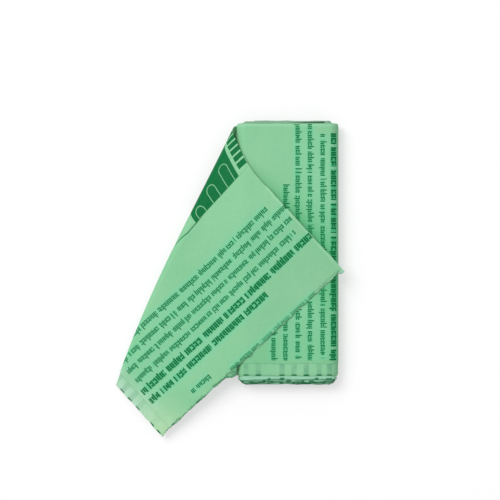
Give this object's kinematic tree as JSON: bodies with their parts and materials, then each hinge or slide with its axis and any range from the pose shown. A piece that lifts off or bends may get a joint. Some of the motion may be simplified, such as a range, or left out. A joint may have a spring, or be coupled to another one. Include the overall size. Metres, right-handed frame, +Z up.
{
  "type": "bin bag roll",
  "caption": "Flattened coreless roll of folded film bin bags, its free end folded slantwise back over the top. Bags are torn off the free end.",
  "frame": {"origin": "middle of the roll's flat underside, on the surface that it lies on", "axes": "+X across the roll, away from the side where the strip leaves it; +Y along the roll; +Z up"},
  "size_m": [0.1337, 0.1869, 0.0165],
  "materials": {
    "film": "soft translucent green film with a satin sheen and darker green print"
  },
  "bodies": {
    "root": {"bag_roll": "film"}
  },
  "joints": []
}
